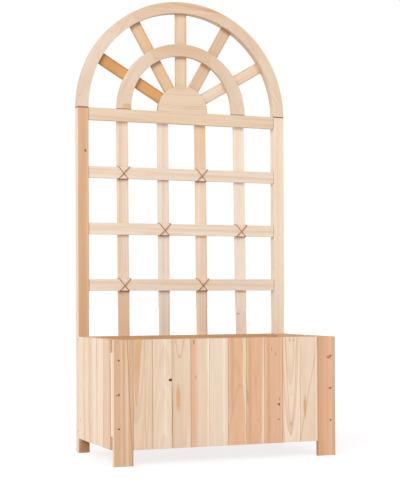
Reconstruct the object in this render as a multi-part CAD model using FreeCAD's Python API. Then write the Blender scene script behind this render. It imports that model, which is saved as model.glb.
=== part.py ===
"""Planter box with an arched lattice trellis, in plain softwood, one solid for each real piece.

Millimetres. The origin is on the ground, under the middle of the planter's footprint.
+X is to the right as seen from the front, +Y is to the back and +Z is up.
"""

import FreeCAD
import Part

import math
import os

# ---- Overall sizes ---------------------------------------------------------------------------
overall_width = 640.0     # across the posts, and across the box
overall_depth = 348.0     # front of the boards to the back of the posts
rim_height = 327.0        # ground to the rim of the box
spring_height = 974.0     # ground to the tops of the posts, where the arch starts

# ---- Arched frame and trellis ----------------------------------------------------------------
post_width = 32.0         # also the width of the outer arch's band
frame_depth = 25.0        # front to back of the posts and of the outer arch
face_thickness = 13.0     # top rail, inner arch and hub, flush with the posts' front
slat_thickness = 10.0     # slats and spokes, fixed behind the rails
slat_width = 32.0
slat_count = 4
slat_heads = (-1.3, 0.5, -4.7, -3.6)   # right of even spacing, at the height where the arch starts
slat_leans = (4.3, 4.5, 5.7, 8.1)      # each slat's foot lies this far to the right of its head
slat_drop = 3.0           # slats end this far below the top rail's upper edge
top_rail_height = 35.0
rail_height = 33.0        # the lower rails
rail_setback = 2.0        # lower rails lie this far behind the posts' front
lower_rail_count = 3
lower_rail_pitch = 160.0
lower_rail_drop = 1.7     # below the place where the spaces above and below them are equal
inner_arch_inset = 0.4    # the inner arch's feet end this far inside the outer slats' edges
inner_arch_band = 42.0    # width of its feet
inner_arch_crown = 35.5   # width of its band at the top
inner_arch_aside = -4.5   # its middle lies this far to the right of the planter's
arch_joint_angle = 60.0   # each arch is three pieces of this angle
hub_lap = 8.0             # the hub reaches this far past the spokes' inner ends
hub_flat = 3.4            # cut off the top of the half disc
fan_aside = -2.6          # the hub and the spokes' centre lie this far to the right
fan_lift = 3.4            # and the spokes' centre lies this far above the top rail
spoke_width = 33.0
spoke_count = 5

# ---- Planter box -----------------------------------------------------------------------------
board_thickness = 12.0    # front legs and all the boards
leg_width = 53.0
front_board_count = 10
side_board_count = 5
back_board_count = 11
ground_gap = 41.0         # ground to the lower ends of the boards
batten_thickness = 15.0
batten_height = 33.0
batten_lift = 3.0         # bottom battens lie this far above the boards' lower ends
cleat_width = 28.0        # upright in each front corner, which takes the legs' screws
corner_gap = 5.0          # open seam between the front frame and the first side board
floor_board_count = 10
floor_board_gap = 5.0     # lets the water out

# ---- Fits ------------------------------------------------------------------------------------
eased_edge = 0.8          # rounding on the long edges
board_seam = 0.8          # open seam between two neighbouring boards
end_play = 0.3            # between a piece's end or edge and what it is dropped in beside
pilot_play = 0.15         # between a fastener and its hole, all round

# ---- Fasteners and lashings ------------------------------------------------------------------
screw_head = 5.0          # diameter
screw_shank = 3.0         # diameter
screw_sink = 0.4          # heads lie this far below the wood's surface
recess_width = 0.9        # arms of the cross recess
recess_depth = 1.1
screw_cover = 2.0         # wood left behind the tip of a leg's screw
leg_screw_count = 3
leg_screw_inset = 14.0    # from the leg's outer side
leg_screw_end = 20.0      # from the cleat's ends to the outer screws
post_screw_length = 55.0
post_screw_drop = 10.0    # from the rim to the upper screw in a post's side
nail_head = 3.6           # diameter
nail_head_thickness = 0.8
nail_shank = 1.8          # diameter
nail_cover = 3.0          # wood left in front of a nail's tip
dowel_diameter = 8.0
dowel_reach = 18.0        # length on each side of the joint
dowel_hole_spare = 1.0
small_dowel_diameter = 6.0
small_dowel_reach = 10.0
lash_diameter = 2.2
lash_bar_inset = 1.0      # a lashing's lower run ends this far inside the slat's edges
lash_shift = -2.5         # that run lies this far to the right of the slat's middle
lash_play = 0.15          # between a lashing and the wood
lash_bend = 2.2           # radius of its bends, at its centre line
lashed_crossings = ((0, 0), (2, 0), (1, 1), (3, 1), (0, 2), (2, 2))   # (slat, lower rail)

# ---- Places that follow from the sizes above -------------------------------------------------
side = overall_width / 2
front = -overall_depth / 2
back = overall_depth / 2
frame_front = back - frame_depth
slat_front = frame_front + face_thickness
slat_back = slat_front + slat_thickness
rail_front = frame_front + rail_setback
post_inner = side - post_width

board_back = front + board_thickness
batten_back = board_back + batten_thickness
side_boards_start = batten_back + corner_gap
side_inner = side - board_thickness

batten_low = ground_gap + batten_lift
batten_low_top = batten_low + batten_height
batten_high = rim_height - batten_height
floor_top = batten_low_top + board_thickness
slat_foot = rim_height - batten_height / 2

end_space = (spring_height - rim_height - lower_rail_pitch * (lower_rail_count - 1)) / 2
lower_rail_tops = [
    spring_height - end_space - lower_rail_drop - lower_rail_pitch * n
    for n in range(lower_rail_count)
]
slat_space = (2 * post_inner - slat_count * slat_width) / (slat_count + 1)
slat_centres = [
    -post_inner + slat_space * (n + 1) + slat_width * (n + 0.5) for n in range(slat_count)
]
inner_arch_radius = slat_centres[-1] + slat_width / 2 - inner_arch_inset
spoke_step = 180.0 / (spoke_count + 1)
spoke_root = spoke_width / 2 / math.tan(math.radians(spoke_step / 2)) + end_play
outer_arch_inside = side - post_width
inner_opening = (inner_arch_radius - inner_arch_band, inner_arch_radius - inner_arch_crown)
hub_height = fan_lift + spoke_root + hub_lap
hub_radius = hub_height + hub_flat

long_nail = batten_thickness + board_thickness - nail_cover
short_nail = slat_thickness + face_thickness - rail_setback - nail_cover
leg_screw_length = board_thickness + batten_thickness - screw_cover
leg_screw_pitch = (batten_high - batten_low_top - 2 * leg_screw_end) / (leg_screw_count - 1)

nodes = {}     # node name: its solids
cutters = {}   # node name: the holes to be taken out of it

X_AXIS = FreeCAD.Vector(1, 0, 0)
Y_AXIS = FreeCAD.Vector(0, 1, 0)
Z_AXIS = FreeCAD.Vector(0, 0, 1)


def vector(x, y, z):
    return FreeCAD.Vector(x, y, z)


def add(name, *solids):
    nodes.setdefault(name, []).extend(solids)


def bore(hole, *names):
    for name in names:
        cutters.setdefault(name, []).append(hole)


# ---- Pieces of wood --------------------------------------------------------------------------
def length_of_wood(x_span, y_span, z_span):
    """A straight piece, its long edges eased and its ends sawn square."""
    sizes = [high - low for low, high in (x_span, y_span, z_span)]
    corner = vector(x_span[0], y_span[0], z_span[0])
    solid = Part.makeBox(*sizes, corner)
    grain = (X_AXIS, Y_AXIS, Z_AXIS)[sizes.index(max(sizes))]
    long_edges = [
        edge for edge in solid.Edges if abs(edge.tangentAt(edge.FirstParameter).dot(grain)) > 0.99
    ]
    return solid.makeFillet(eased_edge, long_edges)


def arch_point(radius, angle, y, aside=0):
    turn = math.radians(angle)
    return vector(aside + radius * math.cos(turn), y, spring_height + radius * math.sin(turn))


def fan_point(radius, angle, y):
    """A place on a spoke's middle line, at a distance from the spokes' centre."""
    return arch_point(radius, angle, y, fan_aside) + Z_AXIS * fan_lift


def opening_radius(half_width, height, angle):
    """From an arch's middle to the edge of its opening, one arc through its feet and its crown."""
    rise = (height ** 2 - half_width ** 2) / (2 * height)
    turn = math.radians(angle)
    chord = math.sqrt((height - rise) ** 2 - (rise * math.cos(turn)) ** 2)
    return rise * math.sin(turn) + chord


def inner_arch_middle(angle):
    """From the inner arch's middle to the middle of its band."""
    return (inner_arch_radius + opening_radius(*inner_opening, angle)) / 2


def arch_piece(outer, opening, start, end, y, thickness, aside):
    """One bent-looking piece of an arch, sawn from a flat board, its curved edges eased."""
    middle = (start + end) / 2
    outside = [arch_point(outer, a, y, aside) for a in (start, middle, end)]
    inside = [
        arch_point(opening_radius(*opening, a), a, y, aside) for a in (end, middle, start)
    ]
    outline = Part.Wire([
        Part.Arc(*outside).toShape(), Part.makeLine(outside[-1], inside[0]),
        Part.Arc(*inside).toShape(), Part.makeLine(inside[-1], outside[0]),
    ])
    solid = Part.Face(outline).extrude(Y_AXIS * thickness)
    curved = [edge for edge in solid.Edges if isinstance(edge.Curve, Part.Circle)]
    return solid.makeFillet(eased_edge, curved)


def arch_pieces(name, outer, opening, y, thickness, aside=0):
    for place, start in (("right", 0), ("top", arch_joint_angle), ("left", 2 * arch_joint_angle)):
        end = start + arch_joint_angle
        add(f"{name}_{place}", arch_piece(outer, opening, start, end, y, thickness, aside))


def hub_piece():
    """Half a disc that stands on the top rail, cut off flat on top."""
    reach = math.sqrt(hub_radius ** 2 - hub_height ** 2)
    flat_angle = math.degrees(math.atan2(hub_height, reach))
    right, left = [
        [arch_point(hub_radius, a, frame_front, fan_aside) for a in angles]
        for angles in (
            (0, flat_angle / 2, flat_angle), (180 - flat_angle, 180 - flat_angle / 2, 180)
        )
    ]
    outline = Part.Wire([
        Part.Arc(*right).toShape(), Part.makeLine(right[-1], left[0]),
        Part.Arc(*left).toShape(), Part.makeLine(left[-1], right[0]),
    ])
    solid = Part.Face(outline).extrude(Y_AXIS * face_thickness)
    curved = [edge for edge in solid.Edges if isinstance(edge.Curve, Part.Circle)]
    return solid.makeFillet(eased_edge, curved)


def spoke_piece(angle):
    """A slat that runs out from behind the hub, its outer end scribed to the outer arch."""
    half = spoke_width / 2
    blank = length_of_wood(
        (spoke_root, side), (slat_front, slat_back), (-half, half)
    )
    blank.rotate(vector(0, 0, 0), Y_AXIS, -angle)
    blank.translate(fan_point(0, 0, 0))
    arch_opening = Part.makeCylinder(
        outer_arch_inside - end_play, overall_depth, vector(0, 0, spring_height), Y_AXIS
    )
    return blank.common(arch_opening)


# ---- Fasteners -------------------------------------------------------------------------------
def countersunk(tip_point, start, direction, length, head, shank, grow):
    """A countersunk screw's outside, or its hole when grow is more than nothing."""
    head_radius = head / 2 + grow
    shank_radius = shank / 2 + grow
    head_length = head_radius - shank_radius
    cone = Part.makeCone(head_radius, shank_radius, head_length, start, direction)
    body_start = start + direction * head_length
    body_length = length - head_length - tip_point
    body = Part.makeCylinder(shank_radius, body_length, body_start, direction)
    tip_start = body_start + direction * body_length
    tip = Part.makeCone(shank_radius, shank_radius / 4, tip_point, tip_start, direction)
    return cone.fuse([body, tip]).removeSplitter()


def cross_recess(start, direction):
    """The cross in a screw's head, as two slots."""
    across = Z_AXIS
    over = direction.cross(across)
    slots = []
    for long_way, short_way in ((across, over), (over, across)):
        reach = screw_head * 0.28
        corners = [
            start + long_way * (a * reach) + short_way * (b * recess_width / 2)
            for a, b in ((-1, -1), (1, -1), (1, 1), (-1, 1))
        ]
        outline = Part.makePolygon(corners + corners[:1])
        slots.append(Part.Face(outline).extrude(direction * recess_depth))
    return slots


def drive_screw(name, surface, direction, length, *through):
    """A screw whose head lies just under the surface, and its hole in each piece it goes through."""
    start = surface + direction * screw_sink
    tip_point = screw_shank
    solid = countersunk(tip_point, start, direction, length, screw_head, screw_shank, 0)
    add(name, solid.cut(cross_recess(start, direction)))
    hole = countersunk(
        tip_point, surface, direction, length + screw_sink + 2 * pilot_play,
        screw_head + 2 * screw_sink, screw_shank, pilot_play,
    )
    bore(hole, *through)


def drive_nail(name, surface, direction, length, *through):
    """A flat-headed nail, flush with the surface."""
    head = Part.makeCylinder(nail_head / 2, nail_head_thickness, surface, direction)
    shank = Part.makeCylinder(nail_shank / 2, length, surface, direction)
    add(name, head.fuse(shank))
    pocket = Part.makeCylinder(
        nail_head / 2 + pilot_play, nail_head_thickness + pilot_play, surface, direction
    )
    pilot = Part.makeCylinder(nail_shank / 2 + pilot_play, length + pilot_play, surface, direction)
    bore(pocket.fuse(pilot), *through)


def set_dowel(name, joint, direction, diameter, reach, *through):
    """A plain wooden pin, half of it in each of the two pieces that meet at the joint."""
    start = joint - direction * reach
    pin = Part.makeCylinder(diameter / 2, 2 * reach, start, direction)
    add(name, pin.makeChamfer(eased_edge, pin.Edges))
    hole = Part.makeCylinder(
        diameter / 2 + pilot_play, 2 * (reach + dowel_hole_spare),
        start - direction * dowel_hole_spare, direction,
    )
    bore(hole, *through)


# ---- Arched frame and trellis ----------------------------------------------------------------
def arched_frame():
    frame_span = (frame_front, back)
    add("post_left", length_of_wood((-side, -post_inner), frame_span, (0, spring_height)))
    add("post_right", length_of_wood((post_inner, side), frame_span, (0, spring_height)))
    arch_pieces(
        "outer_arch", side, (outer_arch_inside, outer_arch_inside), frame_front, frame_depth
    )
    arch_pieces(
        "inner_arch", inner_arch_radius, inner_opening, frame_front, face_thickness,
        inner_arch_aside,
    )
    add("hub", hub_piece())
    for n in range(spoke_count):
        add(f"spoke_{n + 1}", spoke_piece(180 - spoke_step * (n + 1)))


def rails():
    between_posts = (-post_inner, post_inner)
    add("top_rail", length_of_wood(
        between_posts, (frame_front, slat_front), (spring_height - top_rail_height, spring_height)
    ))
    for n, top in enumerate(lower_rail_tops):
        add(f"trellis_rail_{n + 1}", length_of_wood(
            between_posts, (rail_front, slat_front), (top - rail_height, top)
        ))


def slat_slope(n):
    return slat_leans[n % len(slat_leans)] / (spring_height - slat_foot)


def slat_middle(n, z):
    """Where the middle of a leaning slat lies at a height."""
    head = slat_centres[n] + slat_heads[n % len(slat_heads)]
    return head + slat_slope(n) * (spring_height - z)


def trellis_slats():
    for n in range(slat_count):
        centre = slat_middle(n, spring_height)
        slat = length_of_wood(
            (centre - slat_width / 2, centre + slat_width / 2),
            (slat_front, slat_back),
            (slat_foot + end_play, spring_height - slat_drop),
        )
        lean = math.degrees(math.atan(slat_slope(n)))
        slat.rotate(vector(centre, slat_front, spring_height), Y_AXIS, -lean)
        add(f"trellis_slat_{n + 1}", slat)


# ---- Lashings --------------------------------------------------------------------------------
def round_wire(points, bend, radius):
    """A closed loop of round wire through the points, straight runs joined by tangent bends."""
    count = len(points)
    corners = []
    for n, corner in enumerate(points):
        before = (points[n - 1] - corner).normalize()
        after = (points[(n + 1) % count] - corner).normalize()
        half_turn = (math.pi - before.getAngle(after)) / 2
        run = bend * math.tan(half_turn)
        inward = (before + after).normalize()
        centre = corner + inward * (bend / math.cos(half_turn))
        corners.append((corner + before * run, corner + after * run, centre, before, half_turn))
    solids = []
    for n, (start, end, centre, before, half_turn) in enumerate(corners):
        disc = Part.Face(Part.Wire(Part.makeCircle(radius, start, before)))
        axis = (start - centre).cross(end - centre)
        solids.append(disc.revolve(centre, axis, math.degrees(2 * half_turn)))
        run = corners[(n + 1) % count][0] - end
        solids.append(Part.makeCylinder(radius, run.Length, end, run))
    return solids[0].fuse(solids[1:]).removeSplitter()


def lashing(slat, rail):
    """Wire round a crossing: two diagonals in front of the rail, the second over the first.

    Under the rail it runs along the slat's face, and above the rail behind the slat.
    """
    radius = lash_diameter / 2
    clear = radius + lash_play
    level = lower_rail_tops[rail] - rail_height / 2
    high = level + rail_height / 2 + clear
    low = level - rail_height / 2 - clear
    aside = slat_width / 2 + clear
    high_left = slat_middle(slat, high) - aside
    high_right = slat_middle(slat, high) + aside
    low_middle = slat_middle(slat, low) + lash_shift
    low_left = low_middle - slat_width / 2 + lash_bar_inset
    low_right = low_middle + slat_width / 2 - lash_bar_inset
    near = rail_front - clear
    far = slat_back + clear
    slat_face = slat_front - clear
    over = near - lash_diameter - lash_play
    share = (high_right - high_left) / (high_right - high_left + low_right - low_left)
    crossing = vector(
        high_left + (low_right - high_left) * share, over, high + (low - high) * share
    )
    return round_wire([
        vector(high_left, near, high), vector(low_right, near, low),
        vector(low_right, slat_face, low), vector(low_left, slat_face, low),
        vector(low_left, near, low), crossing,
        vector(high_right, near, high), vector(high_right, far, high),
        vector(high_left, far, high),
    ], lash_bend, radius)


def lashings():
    for slat, rail in lashed_crossings:
        add("trellis_lashings", lashing(slat, rail))


# ---- Planter box -----------------------------------------------------------------------------
def shared_out(low, high, count, seam):
    """The spans of equal boards that fill a width, with a seam between neighbours."""
    pitch = (high - low + seam) / count
    return [(low + pitch * n, low + pitch * (n + 1) - seam) for n in range(count)]


def front_panel():
    layer = (front, board_back)
    add("front_leg_left", length_of_wood((-side, -side + leg_width), layer, (0, rim_height)))
    add("front_leg_right", length_of_wood((side - leg_width, side), layer, (0, rim_height)))
    edge = side - leg_width - board_seam
    spans = shared_out(-edge, edge, front_board_count, board_seam)
    for n, span in enumerate(spans):
        add(f"front_board_{n + 1:02d}", length_of_wood(span, layer, (ground_gap, rim_height)))
    behind = (board_back, batten_back)
    add("front_batten_top", length_of_wood((-side, side), behind, (batten_high, rim_height)))
    add("front_batten_bottom", length_of_wood(
        (-side, side), behind, (batten_low, batten_low_top)
    ))
    upright = (batten_low_top, batten_high)
    add("corner_cleats", length_of_wood((-side, -side + cleat_width), behind, upright))
    add("corner_cleats", length_of_wood((side - cleat_width, side), behind, upright))


def side_panels():
    spans = shared_out(side_boards_start, frame_front, side_board_count, board_seam)
    along = (batten_back, frame_front)
    for place, outer, inner in (("left", -side, -side_inner), ("right", side, side_inner)):
        layer = tuple(sorted((outer, inner)))
        for n, span in enumerate(spans):
            add(f"side_board_{place}_{n + 1}", length_of_wood(layer, span, (ground_gap, rim_height)))
        inward = math.copysign(batten_thickness, -outer)
        inside = tuple(sorted((inner, inner + inward)))
        add("side_battens_top", length_of_wood(inside, along, (batten_high, rim_height)))
        add("side_battens_bottom", length_of_wood(inside, along, (batten_low, batten_low_top)))


def back_panel():
    between_posts = (-post_inner, post_inner)
    layer = (rail_front, slat_front)
    add("back_batten_top", length_of_wood(between_posts, layer, (batten_high, rim_height)))
    add("back_batten_bottom", length_of_wood(
        between_posts, layer, (batten_low, batten_low_top)
    ))
    spans = shared_out(
        -post_inner + end_play, post_inner - end_play, back_board_count, board_seam
    )
    for span in spans:
        add("back_boards", length_of_wood(
            span, (slat_front, slat_front + board_thickness), (ground_gap, slat_foot)
        ))


def floor_spans():
    return shared_out(
        -post_inner + end_play, post_inner - end_play, floor_board_count, floor_board_gap
    )


def floor_boards():
    for span in floor_spans():
        add("floor_boards", length_of_wood(
            span, (board_back + end_play, slat_front - end_play), (batten_low_top, floor_top)
        ))


# ---- Where the fasteners go ------------------------------------------------------------------
def box_screws():
    """Three screws through each front leg into its cleat, two through each post's side."""
    for place, sign in (("left", -1), ("right", 1)):
        x = sign * (side - leg_screw_inset)
        for n in range(leg_screw_count):
            z = batten_low_top + leg_screw_end + leg_screw_pitch * n
            drive_screw(
                "leg_screws", vector(x, front, z), Y_AXIS, leg_screw_length,
                f"front_leg_{place}", "corner_cleats",
            )
        y = (rail_front + slat_front) / 2
        for batten, z in (("top", rim_height - post_screw_drop),
                          ("bottom", batten_low + batten_height / 2)):
            drive_screw(
                "post_screws", vector(sign * side, y, z), X_AXIS * -sign, post_screw_length,
                f"post_{place}", f"back_batten_{batten}",
            )


def board_nails():
    """Nails that hold the boards on their battens, driven from the side that doesn't show."""
    levels = (("top", batten_high + batten_height / 2), ("bottom", batten_low + batten_height / 2))
    for batten, z in levels:
        edge = side - leg_width - board_seam
        for n, span in enumerate(shared_out(-edge, edge, front_board_count, board_seam)):
            drive_nail(
                "long_nails", vector(sum(span) / 2, batten_back, z), -Y_AXIS, long_nail,
                f"front_batten_{batten}", f"front_board_{n + 1:02d}",
            )
        for place, sign in (("left", -1), ("right", 1)):
            drive_nail(
                "long_nails", vector(sign * (side - leg_width * 0.75), batten_back, z),
                -Y_AXIS, long_nail, f"front_batten_{batten}", f"front_leg_{place}",
            )
            spans = shared_out(side_boards_start, frame_front, side_board_count, board_seam)
            for n, span in enumerate(spans):
                start = vector(sign * (side_inner - batten_thickness), sum(span) / 2, z)
                drive_nail(
                    "long_nails", start, X_AXIS * sign, long_nail,
                    f"side_battens_{batten}", f"side_board_{place}_{n + 1}",
                )


def floor_nails():
    for span in floor_spans():
        x = sum(span) / 2
        for y, batten in (((board_back + batten_back) / 2, "front_batten_bottom"),
                          ((rail_front + slat_front) / 2, "back_batten_bottom")):
            drive_nail(
                "short_nails", vector(x, y, floor_top), -Z_AXIS, short_nail,
                "floor_boards", batten,
            )


def rear_nails():
    """Nails driven from behind: back boards, slats and spokes, into what lies in front of them."""
    spans = shared_out(
        -post_inner + end_play, post_inner - end_play, back_board_count, board_seam
    )
    board_rear = slat_front + board_thickness
    for span in spans:
        x = sum(span) / 2
        for batten, z in (("top", batten_high + batten_height / 4),
                          ("bottom", batten_low + batten_height * 0.4)):
            drive_nail(
                "short_nails", vector(x, board_rear, z), -Y_AXIS, short_nail,
                "back_boards", f"back_batten_{batten}",
            )
    for n in range(slat_count):
        slat = f"trellis_slat_{n + 1}"
        crossings = [("top_rail", spring_height - top_rail_height / 2),
                     ("back_batten_top", rim_height - batten_height / 4)]
        crossings += [
            (f"trellis_rail_{m + 1}", top - rail_height / 2)
            for m, top in enumerate(lower_rail_tops)
        ]
        for rail, z in crossings:
            drive_nail(
                "short_nails", vector(slat_middle(n, z), slat_back, z), -Y_AXIS, short_nail,
                slat, rail,
            )
    for n in range(spoke_count):
        angle = 180 - spoke_step * (n + 1)
        middle = inner_arch_middle(angle)
        place = "right" if angle < arch_joint_angle else "left"
        if arch_joint_angle < angle < 2 * arch_joint_angle:
            place = "top"
        onto_joint = min(abs(angle - arch_joint_angle), abs(angle - 2 * arch_joint_angle)) < 1
        if not onto_joint:
            drive_nail(
                "short_nails", arch_point(middle, angle, slat_back, inner_arch_aside), -Y_AXIS,
                short_nail, f"spoke_{n + 1}", f"inner_arch_{place}",
            )
        else:
            lower = "right" if angle < 90 else "left"
            away = math.degrees(spoke_width / 4 / middle) * (-1 if angle < 90 else 1)
            for lies_on, lean, shift in ((lower, away, -1), ("top", -away, 1)):
                radius = middle + shift * (inner_arch_radius - middle) / 2
                drive_nail(
                    "short_nails", arch_point(radius, angle + lean, slat_back, inner_arch_aside),
                    -Y_AXIS, short_nail, f"spoke_{n + 1}", f"inner_arch_{lies_on}",
                )
        drive_nail(
            "short_nails", fan_point(spoke_root + hub_lap / 2, angle, slat_back), -Y_AXIS, short_nail,
            f"spoke_{n + 1}", "hub",
        )


def dowels():
    """Pins inside the joints of the frame: posts and arch, arch pieces, posts and rails."""
    y = (frame_front + back) / 2
    for place, sign in (("left", -1), ("right", 1)):
        x = sign * (side - post_width / 2)
        set_dowel(
            "large_dowels", vector(x, y, spring_height), Z_AXIS, dowel_diameter, dowel_reach,
            f"post_{place}", f"outer_arch_{place}",
        )
    for angle, place in ((arch_joint_angle, "right"), (2 * arch_joint_angle, "left")):
        turn = math.radians(angle)
        along = vector(-math.sin(turn), 0, math.cos(turn))
        set_dowel(
            "large_dowels", arch_point(side - post_width / 2, angle, y), along,
            dowel_diameter, dowel_reach, f"outer_arch_{place}", "outer_arch_top",
        )
        layer_middle = (frame_front + slat_front) / 2
        set_dowel(
            "small_dowels",
            arch_point(inner_arch_middle(angle), angle, layer_middle, inner_arch_aside), along,
            small_dowel_diameter, small_dowel_reach, f"inner_arch_{place}", "inner_arch_top",
        )
    rail_levels = [("top_rail", spring_height - top_rail_height / 2, frame_front)]
    rail_levels += [
        (f"trellis_rail_{n + 1}", top - rail_height / 2, rail_front)
        for n, top in enumerate(lower_rail_tops)
    ]
    for rail, z, rail_face in rail_levels:
        y = (rail_face + slat_front) / 2
        for place, sign in (("left", -1), ("right", 1)):
            set_dowel(
                "small_dowels", vector(sign * post_inner, y, z), X_AXIS,
                small_dowel_diameter, small_dowel_reach, f"post_{place}", rail,
            )


# ---- The whole planter -----------------------------------------------------------------------
def drilled(solid, holes):
    """The piece with the holes that reach it taken out."""
    near = [hole for hole in holes if hole.BoundBox.intersect(solid.BoundBox)]
    return solid.cut(near) if near else solid


def write_nodes():
    os.makedirs("parts", exist_ok=True)
    for name, solids in nodes.items():
        pieces = [drilled(solid, cutters.get(name, [])) for solid in solids]
        pieces = [piece for cut in pieces for piece in cut.Solids]
        shape = pieces[0] if len(pieces) == 1 else Part.makeCompound(pieces)
        shape.exportStep(f"parts/{name}.step")
        print(f"{name}: {len(pieces)} of {len(solids)}, volume {shape.Volume:.0f}")


arched_frame()
rails()
trellis_slats()
lashings()
front_panel()
side_panels()
back_panel()
floor_boards()
box_screws()
board_nails()
floor_nails()
rear_nails()
dowels()
write_nodes()
print(f"{len(nodes)} nodes, {sum(len(solids) for solids in nodes.values())} solids")
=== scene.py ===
"""Looks for the planter box with an arched lattice trellis, in plain planed softwood."""

import math

import bmesh
import bpy
from mathutils import Matrix, Vector

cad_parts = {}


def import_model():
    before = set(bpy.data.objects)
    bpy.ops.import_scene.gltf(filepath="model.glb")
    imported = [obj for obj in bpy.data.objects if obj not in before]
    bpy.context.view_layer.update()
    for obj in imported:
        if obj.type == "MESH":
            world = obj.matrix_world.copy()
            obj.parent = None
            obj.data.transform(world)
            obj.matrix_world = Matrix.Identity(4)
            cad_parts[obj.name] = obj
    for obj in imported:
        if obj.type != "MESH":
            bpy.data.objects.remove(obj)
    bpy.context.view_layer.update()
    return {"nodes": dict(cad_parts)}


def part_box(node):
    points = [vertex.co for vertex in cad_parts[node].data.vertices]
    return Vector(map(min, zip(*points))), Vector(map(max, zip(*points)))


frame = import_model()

# ---- Camera, at the photograph's place: metres and degrees ------------------------------------
picture_width = 400
picture_height = 493
camera_place = (-1.3043, -3.2473, 0.4382)
camera_heading = -21.7156     # turned to the right of straight ahead
camera_tilt = 0.2601          # above the horizon
camera_roll = -0.2325
camera_reach = 1252.1         # focal length in picture pixels
camera_shift = 0.09           # share of the picture's height
sensor_size = 36.0            # millimetres, on the picture's long side

# ---- Light: metres, watts and shares of white -------------------------------------------------
key_place = (-5.0, -5.4, 3.9)
key_aim = (0, 0, 0.6)
key_size = 4.0                # across the lamp
key_power = 345.0
sky_colour = (0.97, 0.985, 1.0, 1.0)
sky_strength = 0.70
floor_reach = 40.0            # from its middle to its edge
floor_colour = (0.88, 0.87, 0.86, 1.0)
floor_shadow_share = (0.25, 0.25, 0.25, 1.0)      # of the light on it that the camera sees
floor_glow_colour = (1, 0.978, 0.976, 1)
floor_glow_near = (0.55, 0.82)                    # distance from the middle, and the glow there
floor_glow_far = (1.8, 1.06)

# ---- The planter's own places, in metres ------------------------------------------------------
box_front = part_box("front_leg_left")[0].y
frame_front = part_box("post_left")[0].y
arch_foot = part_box("post_left")[1].z
arch_step = 60.0              # degrees of arch in each of its pieces
fan_middle = Vector((-0.0026, frame_front, arch_foot + 0.0034))   # where the spokes' lines meet
arch_inside = 0.286           # from there to the outer arch
inner_arch_inside = 0.160     # and to the inner arch
spoke_angles = {"spoke_1": 150, "spoke_2": 120, "spoke_3": 90, "spoke_4": 60, "spoke_5": 30}

# ---- Widths of faces and edges, in millimetres -------------------------------------------------
leg_front_width = 52.2        # between the eased edges
post_front_width = 31.2
side_board_edge = 28.7        # from a side board's middle to its seams
shade_softness = 70.0         # of a broad change of tone along an arch
arch_joint_width = 2.2
arch_joint_softness = 1.6
rail_end_width = 1.4
spoke_shadow_width = 3.0      # where a spoke goes behind an arch
spoke_shadow_softness = 14.0
shade_radius = 0.3            # metres from the arch's middle to the band of the outer arch

# ---- The wood's figure, as noise cycles in a metre: across, into and along the grain -----------
ring_drift_scale = (26.0, 26.0, 4.2)
streak_scale = (560.0, 560.0, 10.0)
cloud_scale = (48.0, 48.0, 5.0)
knot_edge_scale = (330.0, 330.0, 330.0)
stripe_drift_scale = (8.0, 8.0, 9.0)
tongue_drift_scale = (30.0, 30.0, 14.0)
tongue_drift = 0.004          # metres from side to side
stripe_drift = 0.006
hard_edge = 0.2               # mm: a stripe with an edge no softer than this runs straight

# ---- What the wood's colour is multiplied by ---------------------------------------------------
cloud_tint = (0.95, 0.915, 0.875, 1.0)
streak_tint = (0.93, 0.89, 0.845, 1.0)
sawn_end_tint = (0.80, 0.70, 0.58, 1.0)

# ---- Wood colours, as red, green and blue out of 255 ------------------------------------------
ivory = (247, 226, 204)
shell = (242, 222, 202)
cream = (237, 214, 190)
straw = (233, 206, 178)
pale_rose = (230, 205, 183)
sand = (226, 194, 164)
tan = (216, 176, 138)
milk = (246, 229, 210)
oat = (239, 219, 198)
flax = (231, 209, 186)
biscuit = (226, 202, 177)
blush = (234, 200, 174)
apricot = (229, 186, 153)
salmon = (224, 181, 149)
clay = (214, 168, 134)
umber = (197, 149, 112)
copper = (212, 164, 128)
arch_shade = (212, 178, 146)
honey = (216, 163, 108)
ring_brown = (190, 140, 96)
ring_rose = (208, 158, 124)
knot_brown = (118, 66, 36)
stain_brown = (160, 104, 68)
fleck_brown = (186, 126, 92)
fleck_rose = (206, 152, 114)
# painted shade for the right post inside the box, below its rim
painted_box_shade = (176, 130, 90)
spoke_shadow = (150, 106, 68)
joint_brown = (122, 80, 48)


def colour(rgb):
    """A colour out of 255, as the shader wants it."""
    parts = [c / 255 for c in rgb]
    linear = [c / 12.92 if c <= 0.04045 else ((c + 0.055) / 1.055) ** 2.4 for c in parts]
    return (*linear, 1.0)


# ---- Helpers for shader trees -----------------------------------------------------------------
def feed(tree, socket, value):
    """Sets a socket, or joins it to another node's output."""
    if isinstance(value, bpy.types.NodeSocket):
        tree.links.new(value, socket)
    else:
        socket.default_value = value


def place_node(tree, kind, inputs, **settings):
    """A new node with its settings, and its inputs set or joined by name."""
    node = tree.nodes.new(kind)
    for name, value in settings.items():
        setattr(node, name, value)
    for name, value in inputs.items():
        feed(tree, node.inputs[name], value)
    return node


def calc(tree, operation, *values):
    """One sum on numbers."""
    node = tree.nodes.new("ShaderNodeMath")
    node.operation = operation
    for socket, value in zip(node.inputs, values):
        feed(tree, socket, value)
    return node.outputs[0]


def vector_calc(tree, operation, *values):
    """One sum on vectors."""
    node = tree.nodes.new("ShaderNodeVectorMath")
    node.operation = operation
    for socket, value in zip(node.inputs, values):
        feed(tree, socket, value)
    return node.outputs["Value" if operation in ("DOT_PRODUCT", "LENGTH") else "Vector"]


def fade(tree, value, start, end, low=0.0, high=1.0):
    """A smooth step from low to high as value goes from start to end."""
    node = place_node(
        tree, "ShaderNodeMapRange",
        {"Value": value, "From Min": start, "From Max": end, "To Min": low, "To Max": high},
        interpolation_type="SMOOTHSTEP",
    )
    return node.outputs["Result"]


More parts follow.
